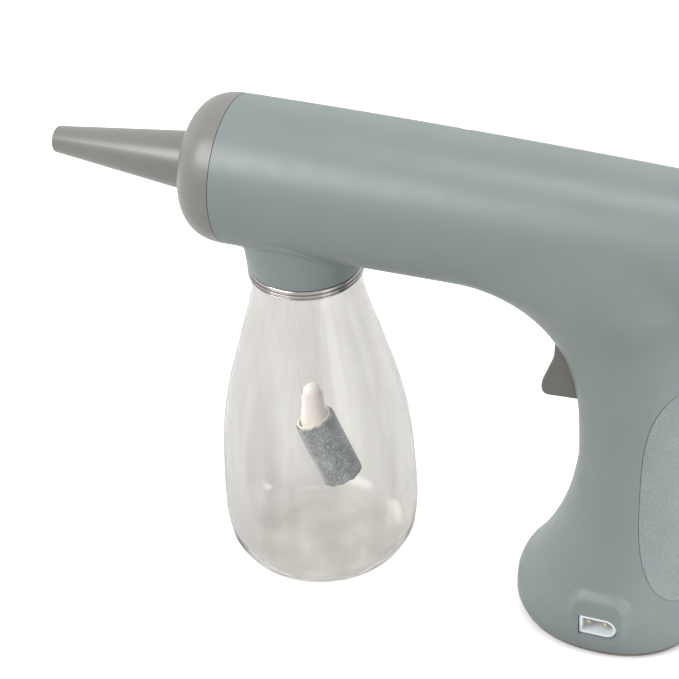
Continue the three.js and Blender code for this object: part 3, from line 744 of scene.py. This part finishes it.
def build_trigger():
    x, z = TRIGGER_PIVOT
    hub = [(x + TRIGGER_HUB_R * math.cos(a), z + TRIGGER_HUB_R * math.sin(a))
           for a in np.linspace(0, math.pi, 12)]
    shape = hub + bezier((-21.6, 147.6), (-24.4, 145.8), (-25.6, 143.4), (-25.7, 139))
    shape += bezier((-25.7, 139), (-25.9, 130), (-30.9, 125), (-31.3, 119.2), 16)
    shape += bezier((-31.3, 119.2), (-31.6, 116.2), (-30.4, 114.6), (-28, 114.5))
    shape += [(-28, 114.5), (-10.5, 115.4), (-8.8, 116.2), (-8.4, 118.6), (-8, 140)]
    trigger = extruded("trigger_skin", shape, -TRIGGER_HALF, TRIGGER_HALF, edge=1.6, steps=5)
    boolean(trigger, "DIFFERENCE", block(-21, 0, -4.8, 4.8, 118, 132),
            revolved("bore", [(0, -10), (1.8, -10), (1.8, 10), (0, 10)], 24, "y",
                     (x, 0, z), closed=False))
    finished(trigger, "trigger", "trigger_body", ["trigger"])


def build_inlet():
    body = extruded("power_inlet_skin", inlet_outline(0), -35.9, -17, edge=0.3, steps=2)
    cavity = extruded("socket", inlet_outline(-1.3), -40, -27.4)
    boolean(body, "DIFFERENCE", cavity)
    for x in PIN_XS:
        boolean(body, "DIFFERENCE",
                revolved("bore", [(0, -30), (1.5, -30), (1.5, -19), (0, -19)], 24, "y",
                         (x, 0, PIN_Z), closed=False))
    finished(body, "white", "gun", ["power_inlet"], look="inlet")
    for k, x in enumerate(PIN_XS):
        profile = [(0, -34)] + rounded([(0, -34), (1.2, -34), (1.2, -19.4), (0, -19.4)], 0.5,
                                       closed=False)[1:]
        finished(revolved(f"inlet_pin_skin_{k + 1}", profile, 32, "y", (x, 0, PIN_Z),
                          closed=False), "brass", "gun", [f"inlet_pin_{k + 1}"])


def build_base_cover():
    angle = np.linspace(0, 2 * math.pi, 160, endpoint=False)
    rings = []
    for z, inset in ((0, 1.0), (0.25, 0.45), (0.8, 0.1), (1.8, 0), (2.6, 0), (2.9, 0.3)):
        front, rear, half = (float(v) for v in handle_at(np.array(z)))
        reach = (rear - front) / 2 - inset
        along = (front + rear) / 2 + reach * flattened(np.cos(angle), HANDLE_POWER)
        across = (half - inset) * flattened(np.sin(angle), HANDLE_POWER)
        rings.append(np.stack([along, across, np.full(160, z)], 1))
    cover = ring_mesh("base_cover_skin", rings)
    for x, y in COVER_SCREWS:
        profile = [(0, -1), (3.1, -1), (3.1, 1.5), (1.7, 1.5), (1.7, 5), (0, 5)]
        boolean(cover, "DIFFERENCE",
                revolved("hole", profile, 28, centre=(x, y, 0), closed=False))
    # The cover's darker brown-grey is painted shade with a warm painted reflection along the
    # foot's bottom edge.
    finished(cover, "rim", "gun", ["base_cover"])


build_trigger()
build_inlet()
build_base_cover()


# ---------- bottle, collar and liquid path ----------

BOTTLE_SIDE = np.array([
    [10.5, 41], [15, 42.7], [29, 44], [46.2, 43.6], [69.3, 42], [92.4, 37.9],
    [115.5, 31.6], [138.6, 25.4], [148, 23.7], [153, 23.2],
])
FILLET = 1.6         # rounding where the collar runs into the barrel


def build_collar():
    side = [(COLLAR_R, z) for z in np.arange(168, 186, 0.75)]
    profile = (rounded([(3.3, 161.6), (22.7, 161.6), (22.7, 154.6), (23.7, 154.6),
                        (23.7, 158), (25, 158), (25.4, 162), (COLLAR_R, 166.5)], 0.35,
                       closed=False)
               + side + [(3.3, side[-1][1])])
    collar = revolved("collar", profile, 128, centre=(BOTTLE_X, 0, 0))
    points = verts_of(collar)
    clear = np.clip(np.hypot(points[:, 1], points[:, 2] - BARREL_Z) - BARREL_R, 0, FILLET)
    flare = FILLET - np.sqrt(FILLET ** 2 - (FILLET - clear) ** 2)
    x = points[:, 0] - BOTTLE_X
    outer = np.hypot(x, points[:, 1]) > 25.5
    grow = 1 + np.where(outer, flare, 0) / COLLAR_R
    points[:, 0] = BOTTLE_X + x * grow
    points[:, 1] *= grow
    skin = with_verts("bottle_collar_skin", collar, points)
    discard(collar)
    inside = BARREL_R - 0.8
    boolean(skin, "DIFFERENCE",
            revolved("saddle", [(0, -180), (inside, -180), (inside, -60), (0, -60)], 160, "x",
                     (0, 0, BARREL_Z), closed=False))
    finished(skin, "shell", "gun", ["bottle_collar"], sharp=50)

    ring = rounded([(24, 153), (24.8, 153), (25, 153.3), (25, 153.7), (24.3, 154),
                    (24.3, 154.4), (25.1, 154.7), (25.1, 155.4), (24.2, 155.7), (24.2, 156.3),
                    (25.1, 156.5), (25.1, 157.3), (24.7, 157.7), (24, 157.7)], 0.18, steps=3)
    finished(revolved("lock_ring_skin", ring, 128, centre=(BOTTLE_X, 0, 0)),
             "silver", "ring", ["lock_ring"])


def build_bottle():
    side = [(float(smooth_at(BOTTLE_SIDE, 1, np.array(z))), z)
            for z in np.linspace(11.5, 153, 60)]
    heel = [(0, 3.4)] + rounded([(0, 3.4), (22, 1.1), (25.5, 0), (29.5, 0), (34.6, 3.1),
                                 (38.6, 6.7), side[0]], 5, closed=False)[1:-1]
    neck = rounded([(22.9, 153.9), (NECK_R, 154.2), (NECK_R, 155.6), (22.2, 156.2),
                    (NECK_R, 156.8), (NECK_R, NECK_TOP), (NECK_R - 1.5, NECK_TOP),
                    (NECK_R - 1.5, 154.4)], 0.3)
    inside = [(r - BOTTLE_WALL, z) for r, z in reversed(side) if z > 15]
    floor = rounded([inside[-1], (37.4, 8.3), (33.6, 4.9), (27, 2.5), (20, 3.4), (0, 5.4)], 4,
                    closed=False)[1:]
    bottle = revolved("bottle_skin", heel + side + neck + inside + floor, 144,
                      centre=(BOTTLE_X, 0, 0), closed=False)
    finished(bottle, "clear", "bottle", ["bottle"], sharp=60)


build_collar()
build_bottle()


# ---------- suction hose and filter ----------

FILTER_CENTRE = (-133.2, 0, 55.9)
FILTER_SLANT = 0.4
FILTER_R = 9.4
FILTER_HALF = 16.1
HOSE_R = 5.4
HOSE_BORE = 4.5
STUB_REACH = 4.5     # how far the filter's stub goes up inside the hose
HOSE_ROUTE = [(-138, 0, 156.7), (-138.1, 0, 146), (-138.7, 0, 133), (-139.4, 0, 120),
              (-139.8, 0, 106), (-139.7, 0, 94), (-139.3, 0, 84.9)]


def spline_points(points, per=8):
    """Points of a smooth curve (Catmull-Rom) through the given ones."""
    p = [np.array(q, float) for q in points]
    p = [2 * p[0] - p[1]] + p + [2 * p[-1] - p[-2]]
    result = []
    for k in range(1, len(p) - 2):
        for t in np.linspace(0, 1, per, endpoint=False):
            result.append(0.5 * (2 * p[k] + (p[k + 1] - p[k - 1]) * t
                                 + (2 * p[k - 1] - 5 * p[k] + 4 * p[k + 1] - p[k + 2]) * t ** 2
                                 + (3 * p[k] - p[k - 1] - 3 * p[k + 1] + p[k + 2]) * t ** 3))
    result.append(p[-2])
    return np.array(result)


def rings_along(path, sizes, sides=36):
    """Circles of the given radii across a path in the x-z plane."""
    tangent = np.gradient(path, axis=0)
    tangent /= np.linalg.norm(tangent, axis=1)[:, None]
    across = np.array([0.0, 1.0, 0.0])
    angles = np.linspace(0, 2 * math.pi, sides, endpoint=False)
    return [p + size * (np.outer(np.cos(angles), across)
                        + np.outer(np.sin(angles), np.cross(t, across)))
            for p, t, size in zip(path, tangent, sizes)]


def tube(name, path, radius, bore, sides=36):
    """A round tube along a path, with its bore open at both ends."""
    count = len(path)
    rings = (rings_along(path, [radius] * count, sides)
             + rings_along(path, [bore] * count, sides)[::-1])
    faces = [(i * sides + j, i * sides + (j + 1) % sides,
              ((i + 1) % (2 * count)) * sides + (j + 1) % sides,
              ((i + 1) % (2 * count)) * sides + j)
             for i in range(2 * count) for j in range(sides)]
    return outward(make_object(name, np.concatenate(rings), faces))


def slanted(obj):
    """Moves a piece made upright at the origin to the filter's slanted place."""
    turn = Matrix.Rotation(-FILTER_SLANT, 4, "Y")
    turn.translation = Vector(FILTER_CENTRE) * MM
    obj.data.transform(turn)
    return obj


def along_filter(distance):
    return (FILTER_CENTRE[0] - distance * math.sin(FILTER_SLANT), 0,
            FILTER_CENTRE[2] + distance * math.cos(FILTER_SLANT))


def filter_sleeve():
    """Felt tube with slightly ragged cut ends."""
    rng = np.random.default_rng(7)
    wall = (FILTER_R - 1.1, FILTER_R)
    heights = np.linspace(-FILTER_HALF, FILTER_HALF, 40)
    profile = ([(wall[1], z) for z in heights] + [(wall[0], z) for z in heights[::-1]])
    plain = revolved("sleeve", rounded(profile, 0.3, steps=2), 128)
    points = verts_of(plain)
    angle = np.arctan2(points[:, 1], points[:, 0])
    ragged = sum(rng.uniform(0.03, 0.12) * np.sin(k * angle + rng.uniform(0, 6))
                 for k in range(3, 14))
    ends = np.clip((np.abs(points[:, 2]) - FILTER_HALF + 3) / 3, 0, 1)
    points[:, 2] -= np.sign(points[:, 2]) * ends * (ragged + 0.35)
    sleeve = with_verts("suction_filter_skin", plain, points)
    discard(plain)
    return slanted(sleeve)


def filter_core():
    """Thin lining with a closed end, and the stub that rises from it into the hose."""
    outer, inner = FILTER_R - 1.4, FILTER_R - 2
    core = slanted(revolved("filter_core_skin",
                            rounded([(inner, -14.5), (outer, -14.5), (outer, 16.7),
                                     (inner, 16.7)], 0.25), 96))
    end = slanted(revolved("end", [(0, -14.5), (FILTER_R - 1.8, -14.5), (FILTER_R - 1.8, -11),
                                   (0, -11)], 96, closed=False))
    x, y, z = HOSE_ROUTE[-1]
    path = spline_points([along_filter(-13), along_filter(0), along_filter(8),
                          (-138.7, 0, 70.2), (x, 0, 77.5), (x, y, z),
                          (x - 0.2, y, z + STUB_REACH)])
    left = np.cumsum(np.linalg.norm(np.diff(path, axis=0), axis=1)[::-1])[::-1]
    left = np.append(left, 0)
    tip = np.clip(left / 4, 0, 1)
    # In the bore the stub nearly fills it; a shoulder below carries the hose's end.
    girth = np.interp(left - STUB_REACH, (-STUB_REACH, -0.1, 0.4, 7.3, 14),
                      (3.9, 4.3, 4.75, 5.2, 6.6))
    sizes = girth * (0.35 + 0.65 * np.sqrt(1 - (1 - tip) ** 2))
    boolean(core, "UNION", end, ring_mesh("stub", rings_along(path, sizes)))
    return core


def build_suction():
    sleeve, core = filter_sleeve(), filter_core()
    finished(sleeve, "sleeve", "gun", ["suction_filter"])
    finished(core, "white", "gun", ["filter_core"])
    path = spline_points(HOSE_ROUTE)
    hose = tube("suction_hose_skin", path, HOSE_R, HOSE_BORE)
    finished(hose, "hose", "gun", ["suction_hose"])


build_suction()


# ---------- floor and light ----------

FLOOR_SHOWN = 0.95        # the floor's tone to the camera
FLOOR_BOUNCED = 0.5       # its tone to every other ray
SURROUND_STRENGTH = 0.79
LIT_PLACE = (-0.08, 0, 0.12)
WARM = (1, 0.92, 0.84)


def build_stage():
    """Pale floor that bounces less light onto the object than it shows."""
    floor = make_object("floor", [(-3000, -3000, 0), (3000, -3000, 0), (3000, 3000, 0),
                                  (-3000, 3000, 0)], [(0, 1, 2, 3)])
    material, nodes, links, shader = principled("floor")
    path = add_node(nodes, "ShaderNodeLightPath")
    tone = ramp(nodes, links, path.outputs["Is Camera Ray"],
                [(0.0, FLOOR_BOUNCED), (1.0, FLOOR_SHOWN)])
    links.new(tone, shader.inputs["Base Color"])
    shader.inputs["Roughness"].default_value = 0.9
    shader.inputs["Specular IOR Level"].default_value = 0.1
    floor.data.materials.append(material)
    floor.location.z = -0.0004


def area_light(name, place, target, size, power, colour=(1, 1, 1), glossy=True):
    """A rectangular light in metres and watts, hidden from the camera."""
    data = bpy.data.lights.new(name, "AREA")
    data.shape = "RECTANGLE"
    data.size, data.size_y = size
    data.energy = power
    data.color = colour
    light = bpy.data.objects.new(name, data)
    bpy.context.scene.collection.objects.link(light)
    light.location = place
    light.rotation_euler = (Vector(target) - Vector(place)).to_track_quat("-Z", "Y").to_euler()
    light.visible_camera = False
    light.visible_glossy = glossy
    return light


def build_light():
    world = bpy.data.worlds.new("studio")
    bpy.context.scene.world = world
    world.use_nodes = True
    surround = world.node_tree.nodes["Background"]
    surround.inputs["Color"].default_value = (1, 1, 1, 1)
    surround.inputs["Strength"].default_value = SURROUND_STRENGTH
    area_light("top", (-0.08, 0.0, 1.6), LIT_PLACE, (0.6, 0.6), 6)
    back = area_light("back", (-0.08, 1.3, 0.75), LIT_PLACE, (1.0, 0.4), 9, glossy=False)
    area_light("key", (-0.7, -0.78, 0.98), LIT_PLACE, (0.8, 0.6), 10)
    area_light("left", (-1.05, 0.2, 0.35), LIT_PLACE, (0.5, 0.5), 5, WARM, glossy=False)
    area_light("right", (1.25, 0.0, 0.4), LIT_PLACE, (0.5, 0.5), 11, glossy=False)
    streak = area_light("streak", (0.156, -0.19, 0.075), (-0.138, 0, 0.1), (0.1, 0.16), 0.12)
    # Seen through the bottle, the streak light shows as a bright rectangle.
    streak.visible_transmission = False
    back.visible_transmission = False


build_stage()
build_light()
bpy.context.scene.view_settings.view_transform = "Standard"
